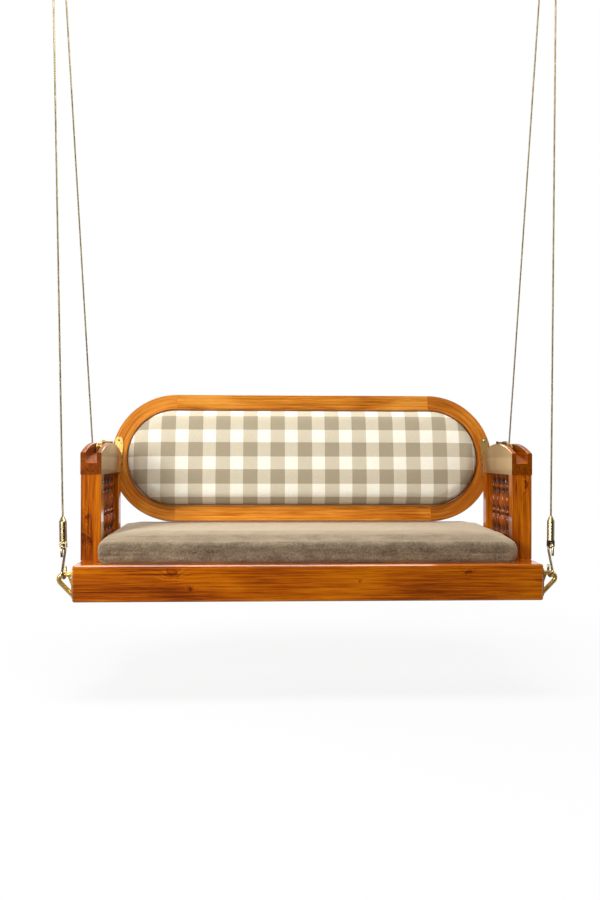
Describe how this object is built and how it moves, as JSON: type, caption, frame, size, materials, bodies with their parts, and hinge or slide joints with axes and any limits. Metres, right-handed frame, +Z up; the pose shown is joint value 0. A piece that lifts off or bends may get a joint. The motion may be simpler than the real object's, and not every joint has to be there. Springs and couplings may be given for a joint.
{
  "type": "hanging swing bench",
  "caption": "Teak swing bench hung on wire ropes, with arched channelled arms, turned spindles, a suede seat cushion and a padded gingham backrest that flips over.",
  "frame": {"origin": "on the ceiling plane, midway between the two ceiling brackets and above the centre of mass", "axes": "+X along the bench to the right as seen from the front, +Y from the front to the back, +Z up"},
  "size_m": [1.932, 0.62, 2.458],
  "materials": {
    "teak": "honey-brown teak under a clear gloss lacquer",
    "plain_board": "plain sealed board",
    "gingham": "woven gingham check in cream and two greys",
    "suede": "grey-taupe suede cloth",
    "brass": "polished brass",
    "polished_steel": "polished steel",
    "satin_steel": "satin steel",
    "wire_rope": "twisted wire with a warm tint"
  },
  "bodies": {
    "ceiling": {"ceiling_brackets": "satin_steel", "ceiling_pins": "polished_steel"},
    "swing": {"arm_beam_left": "teak", "arm_beam_right": "teak", "bearers": "plain_board", "clevises": "brass", "corner_eyes": "brass", "end_rail_left": "teak", "end_rail_right": "teak", "front_post_left": "teak", "front_post_right": "teak", "front_rail": "teak", "lower_terminals": "polished_steel", "pivot_pins": "polished_steel", "rear_post_left": "teak", "rear_post_right": "teak", "rear_rail": "teak", "rope_front_left": "wire_rope", "rope_front_right": "wire_rope", "rope_rear_left": "wire_rope", "rope_rear_right": "wire_rope", "s_hooks": "polished_steel", "seat_board": "plain_board", "seat_cushion": "suede", "spindles": "teak", "stay_studs": "polished_steel", "upper_terminals": "polished_steel", "yokes": "satin_steel"},
    "backrest": {"back_board": "plain_board", "back_bottom_rail": "teak", "back_ends": "teak", "back_top_rail": "teak", "front_pad": "gingham", "rear_pad": "gingham", "straps": "brass"}
  },
  "joints": [
    {"name": "swing_on_ropes", "type": "hinge", "parent": "ceiling", "child": "swing", "pos_m": [0, 0, -0.056], "axis": [1, 0, 0], "range_deg": [-25, 25]},
    {"name": "back_flip", "type": "hinge", "parent": "swing", "child": "backrest", "pos_m": [0, -0.0676, -1.96095], "axis": [1, 0, 0], "range_deg": [0, 198]}
  ]
}
